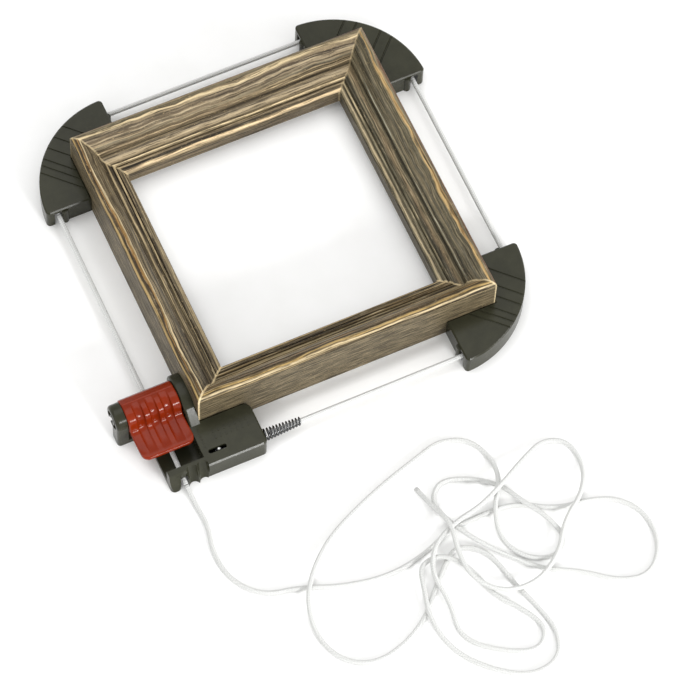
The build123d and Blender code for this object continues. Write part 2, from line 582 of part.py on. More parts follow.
# The spare cord, from the gate in the block's front wall to its cut end. Points are
# x, y, height from the middle of the wooden frame; crossings are long low humps.
spare_route = [
    EXIT, (-122, -143, 1.9), (-120, -160, 1.6), (-125, -178, 1.6), (-122, -200, 1.6),
    (-108, -216, 1.6), (-86, -220, 1.6), (-62, -230, 1.6), (-34, -235, 1.6), (-8, -231, 1.6),
    (12, -222, 1.6), (34, -221, 1.6), (56, -222, 1.6), (78, -236, 1.6), (98, -238, 1.6),
    # right-hand loop and back to the heap
    (116, -245, 1.6), (127, -262, 1.6), (125, -283, 1.6), (111, -298, 1.6), (92, -294, 1.6),
    (74, -279, 1.6), (54, -269, 1.6), (37, -252, 1.6), (22, -234, 4.9), (13, -217, 4.9),
    # small loop above the heap, then the round one beside it
    (10, -201, 1.6), (20, -190, 1.6), (38, -196, 1.6), (54, -208, 1.6), (60, -224, 5.1),
    (70, -240, 5.1), (75, -256, 1.6), (63, -265, 1.6), (46, -257, 1.6), (38, -241, 1.6),
    (42, -222, 5.3), (54, -206, 5.3), (56, -188, 1.6), (48, -172, 1.6), (31, -166, 1.6),
    # long left-hand loop
    (14, -171, 1.6), (-10, -178, 1.6), (-34, -187, 1.6), (-57, -198, 1.6), (-75, -214, 5.0),
    (-87, -232, 5.0), (-90, -253, 1.6), (-83, -273, 1.6), (-66, -283, 1.6), (-46, -280, 1.6),
    (-27, -270, 1.6), (-14, -256, 1.6), (-3, -245, 1.6), (9, -234, 1.6), (22, -239, 1.6),
    # outer turn of the front loop
    (30, -252, 1.6), (33, -270, 1.6), (40, -290, 1.6), (44, -308, 1.6), (37, -325, 1.6),
    (17, -328, 1.6), (-4, -314, 1.6), (-19, -295, 1.6), (-24, -272, 5.0), (-19, -253, 5.0),
    # inner turn of the front loop
    (-15, -237, 5.0), (1, -236, 5.0), (13, -251, 5.0), (18, -271, 1.6), (30, -286, 1.6),
    (39, -303, 1.6), (29, -315, 1.6), (10, -308, 1.6), (-12, -290, 1.6), (-8, -266, 4.9),
    # over the heap, round the back loop, and up to the cut end on top
    (-11, -247, 7.8), (-3, -231, 8.3), (14, -222, 8.2), (36, -218, 8.5), (55, -209, 8.5),
    (74, -198, 4.0), (90, -191, 1.6), (104, -198, 1.6), (106, -216, 1.6), (96, -234, 5.6),
    (78, -246, 6.0), (66, -264, 5.6), (46, -276, 4.9), (24, -274, 5.8), (10, -259, 8.2),
    (9, -241, 9.8), (13, -222, 12.4), (8, -206, 6.5), (5.2, -189.5, 1.7),
]
spare_radii = route_radii(spare_route)
cord_tail, spare_length = cord_piece(spare_route, spare_radii)
save(cord_tail, "cord_tail")

for tube, length in ((clamp_cord, tight_length), (cord_tail, spare_length)):
    solid = pi * CORD_RADIUS**2 * length
    print(f"{tube.part.label}: {length:.0f} long, volume {tube.part.volume:.0f}, section x length {solid:.0f}")
print("spare cord radii", [round(r) for r in spare_radii])
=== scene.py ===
import math

import bmesh
import bpy
from mathutils import Matrix, Vector


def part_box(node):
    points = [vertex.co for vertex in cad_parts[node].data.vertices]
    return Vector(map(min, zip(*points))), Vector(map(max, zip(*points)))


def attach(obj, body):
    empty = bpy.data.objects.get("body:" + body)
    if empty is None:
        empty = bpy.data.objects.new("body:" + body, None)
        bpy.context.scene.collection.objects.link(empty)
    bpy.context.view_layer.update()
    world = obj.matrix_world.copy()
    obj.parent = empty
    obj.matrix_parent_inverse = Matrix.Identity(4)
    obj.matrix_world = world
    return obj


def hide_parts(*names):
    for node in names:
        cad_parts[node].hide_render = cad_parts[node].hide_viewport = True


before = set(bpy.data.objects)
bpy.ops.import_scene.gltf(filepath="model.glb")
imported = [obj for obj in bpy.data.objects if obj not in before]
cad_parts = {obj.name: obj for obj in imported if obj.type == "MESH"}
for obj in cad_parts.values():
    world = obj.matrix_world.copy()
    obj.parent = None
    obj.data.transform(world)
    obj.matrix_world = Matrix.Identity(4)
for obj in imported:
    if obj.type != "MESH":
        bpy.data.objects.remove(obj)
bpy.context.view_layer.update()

MM = 0.001

# middle of the wooden frame, from its rails
MID_X = (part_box("rail_left")[0][0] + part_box("rail_right")[1][0]) / 2
MID_Y = (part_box("rail_front")[0][1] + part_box("rail_back")[1][1]) / 2
HALF = 100.0                    # half the frame's outer side, mm
HUB = 67.0                      # centre of each jaw's arc
CORD_LINE = 122.0               # the tight cord's distance from the middle
CORD_LEVEL = 8.0
CORD_R = 1.5
AXLE = (-81.0, 21.0)            # y and z of the lever's axle


def P(x, y, z):
    """Millimetres from the middle of the wooden frame to metres in the row frame."""
    return Vector((MID_X + x * MM, MID_Y + y * MM, z * MM))


def rgb(r, g, b):
    """sRGB 0-255 to linear."""
    out = []
    for c in (r, g, b):
        c /= 255
        out.append(c / 12.92 if c <= 0.04045 else ((c + 0.055) / 1.055) ** 2.4)
    return (*out, 1.0)


# ------------------------------------------------------------------ node helpers
class Nodes:
    """Short way to build one material."""

    def __init__(self, name):
        self.mat = bpy.data.materials.new(name)
        self.mat.use_nodes = True
        self.tree = self.mat.node_tree
        self.bsdf = self.tree.nodes["Principled BSDF"]

    def add(self, kind, **settings):
        node = self.tree.nodes.new("ShaderNode" + kind)
        for key, value in settings.items():
            setattr(node, key, value)
        return node

    def plug(self, value, socket):
        if hasattr(value, "is_output"):
            self.tree.links.new(value, socket)
        else:
            socket.default_value = value

    def math(self, operation, a, b=0.0, c=0.0, clamp=False):
        node = self.add("Math", operation=operation, use_clamp=clamp)
        for value, socket in zip((a, b, c), node.inputs):
            self.plug(value, socket)
        return node.outputs[0]

    def noise(self, vector, scale=1.0, detail=2.0, rough=0.5, distortion=0.0):
        node = self.add("TexNoise")
        self.plug(vector, node.inputs["Vector"])
        node.inputs["Scale"].default_value = scale
        node.inputs["Detail"].default_value = detail
        node.inputs["Roughness"].default_value = rough
        node.inputs["Distortion"].default_value = distortion
        return node.outputs["Fac"]

    def combine(self, x, y, z=0.0):
        node = self.add("CombineXYZ")
        for value, socket in zip((x, y, z), node.inputs):
            self.plug(value, socket)
        return node.outputs[0]

    def ramp(self, fac, stops):
        """Colour ramp with linear stops (place, colour or grey)."""
        node = self.add("ValToRGB")
        elements = node.color_ramp.elements
        while len(elements) > 1:
            elements.remove(elements[-1])
        for i, (place, colour) in enumerate(stops):
            stop = elements[0] if i == 0 else elements.new(place)
            stop.position = place
            is_grey = not hasattr(colour, "__len__")
            stop.color = (colour, colour, colour, 1) if is_grey else colour
        self.plug(fac, node.inputs[0])
        return node.outputs[0]

    def mix(self, fac, a, b, blend="MIX"):
        node = self.add("Mix", data_type="RGBA", blend_type=blend)
        self.plug(fac, node.inputs[0])
        self.plug(a, node.inputs[6])
        self.plug(b, node.inputs[7])
        return node.outputs[2]

    def span(self, value, low, high, to_low=0.0, to_high=1.0):
        """Eases from to_low to to_high as the value goes from low to high."""
        node = self.add("MapRange", interpolation_type="SMOOTHSTEP")
        self.plug(value, node.inputs[0])
        for n, v in enumerate((low, high, to_low, to_high), 1):
            node.inputs[n].default_value = v
        return node.outputs[0]

    def bump(self, height, distance, strength):
        node = self.add("Bump")
        node.inputs["Strength"].default_value = strength
        node.inputs["Distance"].default_value = distance
        self.plug(height, node.inputs["Height"])
        return node.outputs[0]

    def position(self):
        return self.add("TexCoord").outputs["Object"]

    def finish(self, colour=None, rough=None, normal=None, **values):
        for name, value in (("Base Color", colour), ("Roughness", rough), ("Normal", normal)):
            if value is not None:
                self.plug(value, self.bsdf.inputs[name])
        for name, value in values.items():
            self.bsdf.inputs[name.replace("_", " ")].default_value = value
        return self.mat


# ------------------------------------------------------------------ mesh helpers
def new_piece(name, verts, faces, material, body, node, uvs=None):
    """Mesh object that rides on a body and stands for a CAD node."""
    mesh = bpy.data.meshes.new(name)
    mesh.from_pydata([tuple(v) for v in verts], [], faces)
    mesh.update()
    if uvs is not None:
        layer = mesh.uv_layers.new(name="grain")
        for loop in mesh.loops:
            layer.data[loop.index].uv = uvs[loop.vertex_index]
    for polygon in mesh.polygons:
        polygon.use_smooth = True
    mesh.materials.append(material)
    piece = bpy.data.objects.new(name, mesh)
    bpy.context.scene.collection.objects.link(piece)
    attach(piece, body)
    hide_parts(node)
    return piece


def slotted(piece):
    return piece


def ring_faces(rings, count):
    """Quads between consecutive rings of equal count, and a cap at each end."""
    faces = []
    for i in range(rings - 1):
        a, b = i * count, (i + 1) * count
        for j in range(count):
            k = (j + 1) % count
            faces.append((a + j, a + k, b + k, b + j))
    faces.append(tuple(range(count))[::-1])
    faces.append(tuple(range((rings - 1) * count, rings * count)))
    return faces


def tube(path, radius, sides):
    """Vertices, faces and (length, turn) coordinates of a tube along a list of points."""
    count = len(path)
    tangents = []
    for i in range(count):
        before = path[i - 1] if i else path[i]
        after = path[i + 1] if i < count - 1 else path[i]
        tangents.append((after - before).normalized())
    side = tangents[0].orthogonal().normalized()
    verts, uvs = [], []
    run = 0.0
    for i, (point, tangent) in enumerate(zip(path, tangents)):
        if i:
            run += (point - path[i - 1]).length
            side = (side - tangent * side.dot(tangent)).normalized()
        other = tangent.cross(side)
        for k in range(sides):
            a = 2 * math.pi * k / sides
            verts.append(point + (side * math.cos(a) + other * math.sin(a)) * radius)
            uvs.append((run, k / sides))
    return verts, ring_faces(count, sides), uvs


def lathe(outline, start, axis, sides=40):
    """Turned shape: outline is (along, radius) in mm from start, along axis."""
    axis = axis.normalized()
    side = axis.orthogonal().normalized()
    other = axis.cross(side)
    verts = []
    for along, radius in outline:
        for k in range(sides):
            a = 2 * math.pi * k / sides
            outward = side * math.cos(a) + other * math.sin(a)
            verts.append(start + axis * along * MM + outward * radius * MM)
    return verts, ring_faces(len(outline), sides)


BEVEL_SEGMENTS = 2
BEVEL_ANGLE = 32                # edges that turn by more than this are bevelled, degrees
JOIN_DISTANCE = 1e-6            # corners of the CAD mesh closer than this are one, metres
FLAT_ANGLE = 0.4                # faces that turn by less than this are one, degrees


def add_bevel(piece, width):
    bevel = piece.modifiers.new("edges", "BEVEL")
    bevel.width = width * MM
    bevel.segments = BEVEL_SEGMENTS
    bevel.limit_method = "ANGLE"
    bevel.angle_limit = math.radians(BEVEL_ANGLE)
    # The clamp keeps short edges from throwing stray points off the surface, but it narrows
    # all of a piece's bevels to suit its shortest edge: to 0.002-0.04 mm on the jaws and the
    # block, and 0.06 mm on the cover and the screws. The cam and the anvil keep their width.
    bevel.use_clamp_overlap = True
    even = piece.modifiers.new("flat_faces", "WEIGHTED_NORMAL")
    even.weight = 100
    even.keep_sharp = True


def softened(node, body, material, width):
    """The CAD node's shape as a piece of its own, bevelled up to this width (see add_bevel)."""
    source = bpy.data.objects[node]
    bm = bmesh.new()
    bm.from_mesh(source.data)
    bmesh.ops.remove_doubles(bm, verts=bm.verts, dist=JOIN_DISTANCE)
    bmesh.ops.dissolve_limit(
        bm, angle_limit=math.radians(FLAT_ANGLE), verts=bm.verts, edges=bm.edges)
    bmesh.ops.recalc_face_normals(bm, faces=bm.faces)
    mesh = bpy.data.meshes.new(node + "_moulded")
    bm.to_mesh(mesh)
    bm.free()
    for polygon in mesh.polygons:
        polygon.use_smooth = True
    mesh.materials.append(material)
    piece = bpy.data.objects.new(node + "_moulded", mesh)
    bpy.context.scene.collection.objects.link(piece)
    add_bevel(piece, width)
    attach(piece, body)
    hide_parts(node)
    return piece


# ------------------------------------------------------------------ camera, floor and light
AZIMUTH, ELEVATION, ROLL = math.radians(-27.65), math.radians(63.97), math.radians(3.5)
DISTANCE = 2.5427               # from the target to the camera, metres
LENS, SENSOR = 212.5, 36        # mm
CLIP_NEAR, CLIP_FAR = 0.1, 30   # metres
LIGHT_AIM = Vector((0, -0.05, 0))
WORLD_STRENGTH = 0.8
FLOOR_HALF = 6                  # metres
FLOOR_DROP = 0.0001             # keeps the floor clear of the lowest faces, metres

target = P(7.2, -85.3, 0)
back = Vector((
    math.sin(AZIMUTH) * math.cos(ELEVATION),
    -math.cos(AZIMUTH) * math.cos(ELEVATION),
    math.sin(ELEVATION),
))
right = Vector((math.cos(AZIMUTH), math.sin(AZIMUTH), 0))
up = back.cross(right)
cam_x = right * math.cos(ROLL) + up * math.sin(ROLL)
cam_y = up * math.cos(ROLL) - right * math.sin(ROLL)
camera = bpy.data.objects.new("camera", bpy.data.cameras.new("camera"))
camera.data.lens = LENS
camera.data.sensor_width = SENSOR
camera.data.clip_start, camera.data.clip_end = CLIP_NEAR, CLIP_FAR
turned = Matrix((cam_x, cam_y, back)).transposed().to_4x4()
camera.matrix_world = Matrix.Translation(target + back * DISTANCE) @ turned
bpy.context.scene.collection.objects.link(camera)
bpy.context.scene.camera = camera


def soft_light(name, place, size, power):
    """White area light aimed at the object: place and size in metres, power in watts."""
    data = bpy.data.lights.new(name, "AREA")
    data.shape = "RECTANGLE"
    data.size, data.size_y = size
    data.energy = power
    lamp = bpy.data.objects.new(name, data)
    lamp.location = place
    lamp.rotation_euler = (LIGHT_AIM - Vector(place)).to_track_quat("-Z", "Y").to_euler()
    bpy.context.scene.collection.objects.link(lamp)


soft_light("overhead", (-0.3, 0.6, 2.2), (2.4, 1.6), 20)
soft_light("front_box", (0.47, -2.32, 0.99), (0.62, 0.36), 38)
soft_light("left_fill", (-1.7, -0.7, 0.9), (0.9, 0.9), 2.5)
soft_light("right_strip", (1.65, -1.5, 0.58), (0.9, 0.3), 12)
world = bpy.data.worlds.new("studio")
world.use_nodes = True
background = world.node_tree.nodes["Background"]
background.inputs["Color"].default_value = (1, 1, 1, 1)
background.inputs["Strength"].default_value = WORLD_STRENGTH
bpy.context.scene.world = world
bpy.context.scene.view_settings.view_transform = "Standard"
bpy.context.scene.view_settings.look = "None"

n = Nodes("studio_floor")
speck = n.noise(n.position(), scale=40, detail=3)
floor_tone = n.ramp(speck, [(0.3, (0.93, 0.93, 0.92, 1)), (0.7, (0.96, 0.96, 0.955, 1))])
floor_mesh = bpy.data.meshes.new("floor")
floor_mesh.from_pydata(
    [(x * FLOOR_HALF, y * FLOOR_HALF, 0) for x, y in ((-1, -1), (1, -1), (1, 1), (-1, 1))],
    [], [(0, 1, 2, 3)])
floor_mesh.materials.append(n.finish(floor_tone, 0.9))
floor = bpy.data.objects.new("floor", floor_mesh)
floor.location.z = -FLOOR_DROP
bpy.context.scene.collection.objects.link(floor)


# ------------------------------------------------------------------ materials
def scaled(colour, factor):
    """A colour made darker or lighter, kept opaque."""
    return tuple(min(1, c * factor) for c in colour[:3]) + (1,)


CLOUDINESS = 0.12               # how far moulded plastic strays from its colour


def moulded_plastic(name, colour, rough, grain):
    """Moulded plastic: fine spark-eroded texture, faint cloudiness and handling marks."""
    n = Nodes(name)
    place = n.position()
    cloud = n.noise(place, scale=90, detail=4, rough=0.6)
    fine = n.noise(place, scale=2600, detail=3, rough=0.6)
    marks = n.noise(place, scale=420, detail=2, distortion=1.2)
    dark, light = scaled(colour, 1 - CLOUDINESS), scaled(colour, 1 + CLOUDINESS)
    tone = n.ramp(cloud, [(0.35, dark), (0.65, light)])
    tone = n.mix(n.span(marks, 0.62, 0.72, 0, 0.22), tone, scaled(colour, 1.6))
    roughness = n.math("ADD", n.math("MULTIPLY", marks, 0.16), rough - 0.08)
    height = n.math("ADD", n.math("MULTIPLY", fine, grain), n.math("MULTIPLY", cloud, 0.15))
    return n.finish(tone, roughness, n.bump(height, 0.00002, 0.6), Specular_IOR_Level=0.16)


grey_plastic = moulded_plastic("grey_plastic", rgb(48, 48, 36), 0.22, 1.4)
dark_plastic = moulded_plastic("dark_plastic", rgb(24, 24, 22), 0.5, 0.8)


def red_gloss():
    n = Nodes("red_plastic")
    place = n.position()
    cloud = n.noise(place, scale=70, detail=4)
    fine = n.noise(place, scale=900, detail=3)
    tone = n.ramp(cloud, [(0.3, rgb(116, 32, 6)), (0.7, rgb(130, 40, 10))])
    rough = n.span(n.noise(place, scale=300, detail=3, distortion=2), 0.35, 0.75, 0.13, 0.26)
    normal = n.bump(n.math("ADD", fine, cloud), 0.00003, 0.4)
    return n.finish(tone, rough, normal, Specular_IOR_Level=0.18)


red_plastic = red_gloss()


def steel(name, colour, rough):
    n = Nodes(name)
    place = n.position()
    streak = n.noise(place, scale=1800, detail=3, distortion=0.5)
    tone = n.ramp(n.noise(place, scale=260, detail=3), [(0.3, scaled(colour, 0.8)), (0.7, colour)])
    roughness = n.span(streak, 0.3, 0.7, rough - 0.07, rough + 0.09)
    return n.finish(tone, roughness, n.bump(streak, 0.00004, 0.4), Metallic=1.0)


zinc = steel("zinc_steel", rgb(205, 206, 204), 0.28)
wire = steel("spring_steel", rgb(98, 99, 100), 0.18)


LAY = 0.0032                    # length of one turn of a strand, metres
STRANDS = 4                     # strands each way round the cord


def braid(name):
    """White braided cord: two sets of strands crossing over each other round the tube, with painted
    shade in the gaps between the strands.
    """
    n = Nodes(name)
    grain = n.add("UVMap", uv_map="grain").outputs[0]
    parts = n.add("SeparateXYZ")
    n.plug(grain, parts.inputs[0])
    along, turn = parts.outputs[0], parts.outputs[1]
    lay = n.math("MULTIPLY", along, 2 * math.pi / LAY)
    around = n.math("MULTIPLY", turn, 2 * math.pi * STRANDS)
    left = n.math("SINE", n.math("ADD", lay, around))
    over = n.math("SINE", n.math("SUBTRACT", lay, around))
    weave = n.math("MULTIPLY", left, over)
    strands = n.math("ABSOLUTE", weave)
    fuzz = n.noise(
        n.combine(n.math("MULTIPLY", along, 900), n.math("MULTIPLY", turn, 14)), detail=4)
    soil = n.noise(n.combine(n.math("MULTIPLY", along, 16), turn), detail=2)
    # the ramp paints shade into the gaps between strands, darkest where they part
    tone = n.ramp(strands, [
        (0.0, rgb(162, 163, 161)), (0.4, rgb(216, 217, 215)), (1.0, rgb(236, 236, 233))])
    tone = n.mix(n.span(soil, 0.5, 0.8, 0, 0.25), tone, rgb(214, 213, 208))
    tone = n.mix(n.span(fuzz, 0.3, 0.8, 0, 0.16), tone, rgb(205, 206, 206))
    height = n.math("ADD", n.math("MULTIPLY", weave, 0.6), n.math("MULTIPLY", fuzz, 0.5))
    normal = n.bump(height, 0.00028, 0.8)
    return n.finish(tone, 0.85, normal, Sheen_Weight=0.2, Specular_IOR_Level=0.3)


white_braid = braid("white_braid")

# ------------------------------------------------------------------ cords
# the spare cord's control points in mm, from the gate to the cut end; the height is the
# centreline's, so 1.6 lies on the floor and the rest crosses over what lies below
SPARE_ROUTE = [
    (-122, -131.5, 4.3), (-122, -143, 1.9), (-120, -160, 1.6), (-125, -178, 1.6), (-122, -200, 1.6),
    (-108, -216, 1.6), (-86, -220, 1.6), (-62, -230, 1.6), (-34, -235, 1.6), (-8, -231, 1.6),
    (12, -222, 1.6), (34, -221, 1.6), (56, -222, 1.6), (78, -236, 1.6), (98, -238, 1.6),
    (116, -245, 1.6), (127, -262, 1.6), (125, -283, 1.6), (111, -298, 1.6), (92, -294, 1.6),
    (74, -279, 1.6), (54, -269, 1.6), (37, -252, 1.6), (22, -234, 4.9), (13, -217, 4.9),
    (10, -201, 1.6), (20, -190, 1.6), (38, -196, 1.6), (54, -208, 1.6), (60, -224, 5.1),
    (70, -240, 5.1), (75, -256, 1.6), (63, -265, 1.6), (46, -257, 1.6), (38, -241, 1.6),
    (42, -222, 5.3), (54, -206, 5.3), (56, -188, 1.6), (48, -172, 1.6), (31, -166, 1.6),
    (14, -171, 1.6), (-10, -178, 1.6), (-34, -187, 1.6), (-57, -198, 1.6), (-75, -214, 5.0),
    (-87, -232, 5.0), (-90, -253, 1.6), (-83, -273, 1.6), (-66, -283, 1.6), (-46, -280, 1.6),
    (-27, -270, 1.6), (-14, -256, 1.6), (-3, -245, 1.6), (9, -234, 1.6), (22, -239, 1.6),
    (30, -252, 1.6), (33, -270, 1.6), (40, -290, 1.6), (44, -308, 1.6), (37, -325, 1.6),
    (17, -328, 1.6), (-4, -314, 1.6), (-19, -295, 1.6), (-24, -272, 5.0), (-19, -253, 5.0),
    (-15, -237, 5.0), (1, -236, 5.0), (13, -251, 5.0), (18, -271, 1.6), (30, -286, 1.6),
    (39, -303, 1.6), (29, -315, 1.6), (10, -308, 1.6), (-12, -290, 1.6), (-8, -266, 4.9),
    (-11, -247, 7.8), (-3, -231, 8.3), (14, -222, 8.2), (36, -218, 8.5), (55, -209, 8.5),
    (74, -198, 4.0), (90, -191, 1.6), (104, -198, 1.6), (106, -216, 1.6), (96, -234, 5.6),
    (78, -246, 6.0), (66, -264, 5.6), (46, -276, 4.9), (24, -274, 5.8), (10, -259, 8.2),
    (9, -241, 9.8), (13, -222, 12.4), (8, -206, 6.5), (5.2, -189.5, 1.7),
]


def curve_points(spline_kind, points, handles=None, resolution=10):
    """Points along a smooth curve, read back from it without any thickness."""
    data = bpy.data.curves.new("route", "CURVE")
    data.dimensions = "3D"
    data.resolution_u = resolution
    spline = data.splines.new(spline_kind)
    if spline_kind == "NURBS":
        spline.points.add(len(points) - 1)
        for control, point in zip(spline.points, points):
            control.co = (*point, 1)
        spline.order_u = 3
        spline.use_endpoint_u = True
    else:
        spline.bezier_points.add(len(points) - 1)
        for control, point, (before, after) in zip(spline.bezier_points, points, handles):
            control.handle_left_type = control.handle_right_type = "FREE"
            control.co = point
            control.handle_left, control.handle_right = before, after
    carrier = bpy.data.objects.new("route", data)
    bpy.context.scene.collection.objects.link(carrier)
    bpy.context.view_layer.update()
    evaluated = carrier.evaluated_get(bpy.context.evaluated_depsgraph_get())
    mesh = bpy.data.meshes.new_from_object(evaluated)
    out = [v.co.copy() for v in mesh.vertices]
    bpy.data.objects.remove(carrier)
    bpy.data.meshes.remove(mesh)
    return out


spare_line = curve_points("NURBS", [P(*p) for p in SPARE_ROUTE])
verts, faces, uvs = tube(spare_line, CORD_R * MM, sides=16)
spare_cord = slotted(
    new_piece("spare_cord", verts, faces, white_braid, "frame", "cord_tail", uvs=uvs))

# tight cord: straight sides and quarter arcs round the jaws, then down to the gate
BEND = 55.0                     # radius of the cord round a jaw
QUARTER = 0.5523                # handle length of a quarter circle, in radii
H = BEND * QUARTER
C = CORD_LINE
stops = [
    ((-58, -C), (10, 0), (10, 0)),
    ((HUB, -C), (-10, 0), (H, 0)),
    ((C, -HUB), (0, -H), (0, 10)),
    ((C, HUB), (0, -10), (0, H)),
    ((HUB, C), (H, 0), (-10, 0)),
    ((-HUB, C), (10, 0), (-H, 0)),
    ((-C, HUB), (0, H), (0, -10)),
    ((-C, -109.7), (0, 10), (0, -2.7)),
]
points = [P(x, y, CORD_LEVEL) for (x, y), _, _ in stops]
handles = [
    (P(x + a, y + b, CORD_LEVEL), P(x + c, y + d, CORD_LEVEL))
    for (x, y), (a, b), (c, d) in stops
]
points += [P(-C, -117.8, 7.16), P(-C, -131.5, 4.3)]
handles += [(P(-C, -115.1, 7.7), P(-C, -120, 6.7)), (P(-C, -129, 4.82), P(-C, -133, 4))]
tight_line = curve_points("BEZIER", points, handles, resolution=24)
verts, faces, uvs = tube(tight_line, CORD_R * MM, sides=16)
slotted(
    new_piece("tight_cord", verts, faces, white_braid, "frame", "clamp_cord", uvs=uvs))

# knot: two close turns of the same cord, pulled tight
KNOT_STEPS, KNOT_TURNS = 60, 2.1
KNOT_START, KNOT_LENGTH = -58.9, 3.2
KNOT_R, KNOT_CORD_R = 1.1, 1.32
knot_line = []
for i in range(KNOT_STEPS + 1):
    t = i / KNOT_STEPS
    a = 2 * math.pi * KNOT_TURNS * t
    r = KNOT_R * math.sin(math.pi * min(1, t * 1.02)) ** 0.4 + 0.02
    knot_line.append(
        P(KNOT_START - KNOT_LENGTH * t, -C + r * math.cos(a), CORD_LEVEL + r * math.sin(a)))
verts, faces, uvs = tube(knot_line, KNOT_CORD_R * MM, sides=14)
slotted(
    new_piece("knot_turns", verts, faces, white_braid, "frame", "cord_knot", uvs=uvs))

# ------------------------------------------------------------------ wooden frame


def arc3(a, b, c, count):
    """Points on the circle through a, b and c, from a to c."""
    (ax, ay), (bx, by), (cx, cy) = a, b, c
    d = 2 * (ax * (by - cy) + bx * (cy - ay) + cx * (ay - by))
    aa, bb, cc = ax**2 + ay**2, bx**2 + by**2, cx**2 + cy**2
    ux = (aa * (by - cy) + bb * (cy - ay) + cc * (ay - by)) / d
    uy = (aa * (cx - bx) + bb * (ax - cx) + cc * (bx - ax)) / d
    r = math.hypot(ax - ux, ay - uy)
    t0, t1, t2 = (math.atan2(y - uy, x - ux) for x, y in (a, b, c))
    sweep = (t2 - t0) % (2 * math.pi)
    if (t1 - t0) % (2 * math.pi) > sweep:
        sweep -= 2 * math.pi
    angles = [t0 + sweep * i / count for i in range(count + 1)]
    return [(ux + r * math.cos(t), uy + r * math.sin(t)) for t in angles]


def moulding():
    """Outline of the moulding, (inwards, up) in mm: up the outer side, over the face to the
    sight edge, and back through the rebate and the bottom."""
    out = [(0.3, 0), (0, 0.3)] + [(0, z) for z in (6, 12, 18, 24, 30, 35, 37.0)]
    out += arc3((0, 37.4), (1.9, 40.8), (6.5, 38.9), 14)
    out += arc3((6.5, 38.9), (10.1, 35.0), (12.7, 29.4), 10)[1:]
    out += [(13.1, 29.2), (13.35, 28.9), (13.4, 28.6), (13.4, 27.6)]
    out += arc3((13.4, 27.4), (15.2, 23.2), (19.2, 21.3), 12)
    out += arc3((19.2, 21.3), (20.2, 22.2), (21.1, 20.9), 8)[1:]
    out += [(21.35, 20.35), (21.5, 20.2)]
    out += arc3((21.5, 20.2), (22.5, 21.0), (23.4, 19.8), 8)[1:]
    out += [(23.65, 19.25), (23.8, 19.1)]
    out += arc3((23.8, 19.1), (25.7, 18.5), (27, 16.4), 8)[1:]
    out += [(27, z) for z in (14, 11, 8.5, 6.9)]
    out += [(26.7, 6.6), (23, 6.6), (19.3, 6.6), (19, 6.3), (19, 3), (19, 0.3)]
    out += [(18.7, 0), (12, 0), (6, 0)]
    return out


OUTLINE = moulding()
RUNS = [0.0]                    # distance round the outline of each of its points
for (u0, z0), (u1, z1) in zip(OUTLINE, OUTLINE[1:]):
    RUNS.append(RUNS[-1] + math.hypot(u1 - u0, z1 - z0))


def run_at(inward):
    """Distance round the outline, mm, of the point on the face that lies this far in."""
    top = [(u, v) for (u, z), v in zip(OUTLINE, RUNS) if z > 15 and v > 37]
    for (u0, v0), (u1, v1) in zip(top, top[1:]):
        if u0 <= inward <= u1 and u1 > u0:
            return v0 + (v1 - v0) * (inward - u0) / (u1 - u0)
    return top[-1][1]


# stain in the quirks, rubbed off the raised lines, with painted shade in the quirks and painted
# highlight on the raised lines: (inward mm, brightness)
QUIRK_STAIN_AND_PAINTED_LIGHT = [
    (11.4, 1.0), (12.3, 0.62), (12.9, 1.8), (13.35, 1.4), (13.6, 0.2), (14.4, 0.75),
    (17.0, 1.25), (18.6, 0.75), (19.4, 0.35), (20.3, 1.9), (21.0, 0.9), (21.6, 0.22),
    (22.5, 1.8), (23.3, 0.9), (23.9, 0.25), (24.9, 1.6), (26.3, 1.3), (26.95, 0.6),
]
PORE, RIDGE, BARE_WOOD = (32, 26, 16), (202, 184, 148), (232, 212, 170)
SWAY, QUICK_SWAY = 0.0085, 0.0022      # how far the grain wanders, metres
RAGGED = 0.0012                        # how far the grain breaks a streak's edge, metres


